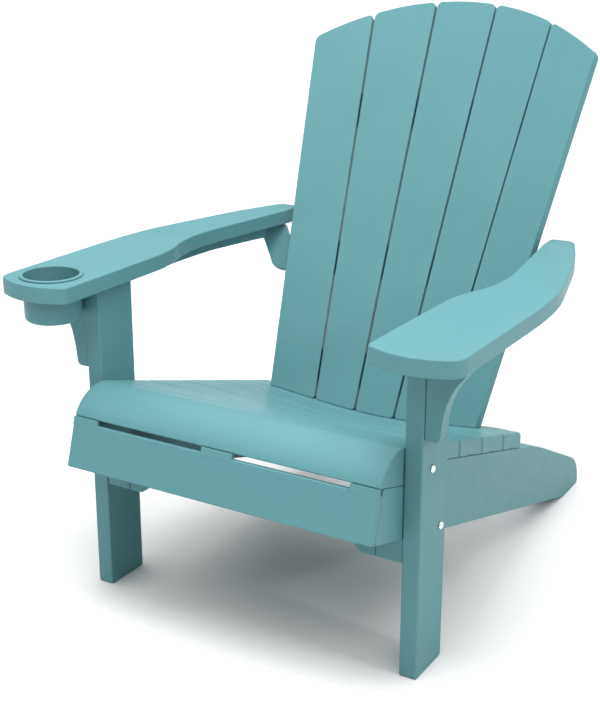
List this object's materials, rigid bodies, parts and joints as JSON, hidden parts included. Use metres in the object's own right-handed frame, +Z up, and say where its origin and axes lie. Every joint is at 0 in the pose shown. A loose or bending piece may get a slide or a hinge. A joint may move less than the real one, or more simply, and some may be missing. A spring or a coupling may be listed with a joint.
{
  "type": "adirondack chair",
  "caption": "Moulded resin garden chair with a sloping slatted seat, fanned hollow back, broad level arms on straight front legs, long rear stringers and a drop-in cup holder in an arm.",
  "frame": {"origin": "on the floor, at the middle of the chair's footprint box", "axes": "+Z up, +X to the chair's left-hand side as seated, which is the viewer's right from the front, and the chair faces -Y"},
  "size_m": [0.823, 0.9628, 0.966],
  "materials": {
    "moulded_resin": "satin moulded resin with a fine even grain, in a muted teal",
    "cup_resin": "satin moulded resin, a little smoother than the chair",
    "fastener_steel": "plated steel, bright"
  },
  "bodies": {
    "root": {"arm_left": "moulded_resin", "arm_rail_left": "moulded_resin", "arm_rail_right": "moulded_resin", "arm_right": "moulded_resin", "back_rail_arm": "moulded_resin", "back_rail_lower": "moulded_resin", "back_rail_upper": "moulded_resin", "back_screw_arm_1": "fastener_steel", "back_screw_arm_2": "fastener_steel", "back_screw_arm_3": "fastener_steel", "back_screw_arm_4": "fastener_steel", "back_screw_arm_5": "fastener_steel", "back_screw_lower_1": "fastener_steel", "back_screw_lower_2": "fastener_steel", "back_screw_lower_3": "fastener_steel", "back_screw_lower_4": "fastener_steel", "back_screw_lower_5": "fastener_steel", "back_screw_upper_1": "fastener_steel", "back_screw_upper_2": "fastener_steel", "back_screw_upper_3": "fastener_steel", "back_screw_upper_4": "fastener_steel", "back_screw_upper_5": "fastener_steel", "back_slat_1": "moulded_resin", "back_slat_2": "moulded_resin", "back_slat_3": "moulded_resin", "back_slat_4": "moulded_resin", "back_slat_5": "moulded_resin", "cup_holder": "cup_resin", "front_board": "moulded_resin", "front_gusset_left": "moulded_resin", "front_gusset_right": "moulded_resin", "front_leg_left": "moulded_resin", "front_leg_right": "moulded_resin", "front_rail": "moulded_resin", "leg_bolt_lower_left": "fastener_steel", "leg_bolt_lower_right": "fastener_steel", "leg_bolt_upper_left": "fastener_steel", "leg_bolt_upper_right": "fastener_steel", "leg_nut_lower_left": "fastener_steel", "leg_nut_lower_right": "fastener_steel", "leg_nut_upper_left": "fastener_steel", "leg_nut_upper_right": "fastener_steel", "seat_nose": "moulded_resin", "seat_slat_1": "moulded_resin", "seat_slat_2": "moulded_resin", "seat_slat_3": "moulded_resin", "seat_slat_4": "moulded_resin", "seat_slat_5": "moulded_resin", "stringer_left": "moulded_resin", "stringer_right": "moulded_resin"}
  },
  "joints": []
}
